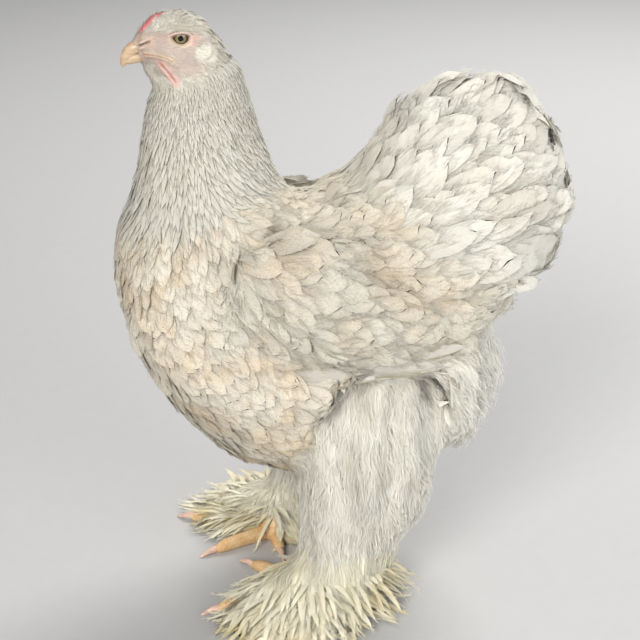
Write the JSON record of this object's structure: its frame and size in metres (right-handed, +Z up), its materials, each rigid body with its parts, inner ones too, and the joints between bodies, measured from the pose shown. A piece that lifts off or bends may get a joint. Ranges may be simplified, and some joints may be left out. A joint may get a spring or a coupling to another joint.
{
  "type": "brahma chicken",
  "caption": "Life-size standing brahma hen with feathered feet, full rounded plumage, an upright cushion tail, a small pea comb and folded wings; a still model.",
  "frame": {"origin": "on the floor under the middle of the bounding box", "axes": "+Z up, the hen faces -X, its left side is at -Y"},
  "size_m": [0.3878, 0.2725, 0.5127],
  "materials": {
    "body_plumage": "soft cream-white feathers, faintly buff on the breast",
    "hackle_plumage": "narrow grey-white neck feathers",
    "down_plumage": "loose white down",
    "scaled_skin": "yellow scaled skin",
    "horn": "pale horn, satin",
    "comb": "red pebbled skin",
    "wattle": "pink wrinkled skin",
    "earlobe": "cream skin",
    "eye": "wet and glossy, olive iris"
  },
  "bodies": {
    "root": {"beak_lower": "horn", "beak_upper": "horn", "boot_left": "down_plumage", "boot_right": "down_plumage", "breast": "body_plumage", "claw_hind_left": "horn", "claw_hind_right": "horn", "claw_inner_left": "horn", "claw_inner_right": "horn", "claw_middle_left": "horn", "claw_middle_right": "horn", "claw_outer_left": "horn", "claw_outer_right": "horn", "comb": "comb", "earlobe_left": "earlobe", "earlobe_right": "earlobe", "eye_left": "eye", "eye_right": "eye", "head": "hackle_plumage", "neck": "hackle_plumage", "shank_left": "scaled_skin", "shank_right": "scaled_skin", "tail": "body_plumage", "thigh_left": "down_plumage", "thigh_right": "down_plumage", "toe_hind_left": "scaled_skin", "toe_hind_right": "scaled_skin", "toe_inner_left": "scaled_skin", "toe_inner_right": "scaled_skin", "toe_middle_left": "scaled_skin", "toe_middle_right": "scaled_skin", "toe_outer_left": "scaled_skin", "toe_outer_right": "scaled_skin", "trunk": "body_plumage", "vent_fluff": "down_plumage", "wattle_left": "wattle", "wattle_right": "wattle", "wing_left": "body_plumage", "wing_right": "body_plumage"}
  },
  "joints": []
}
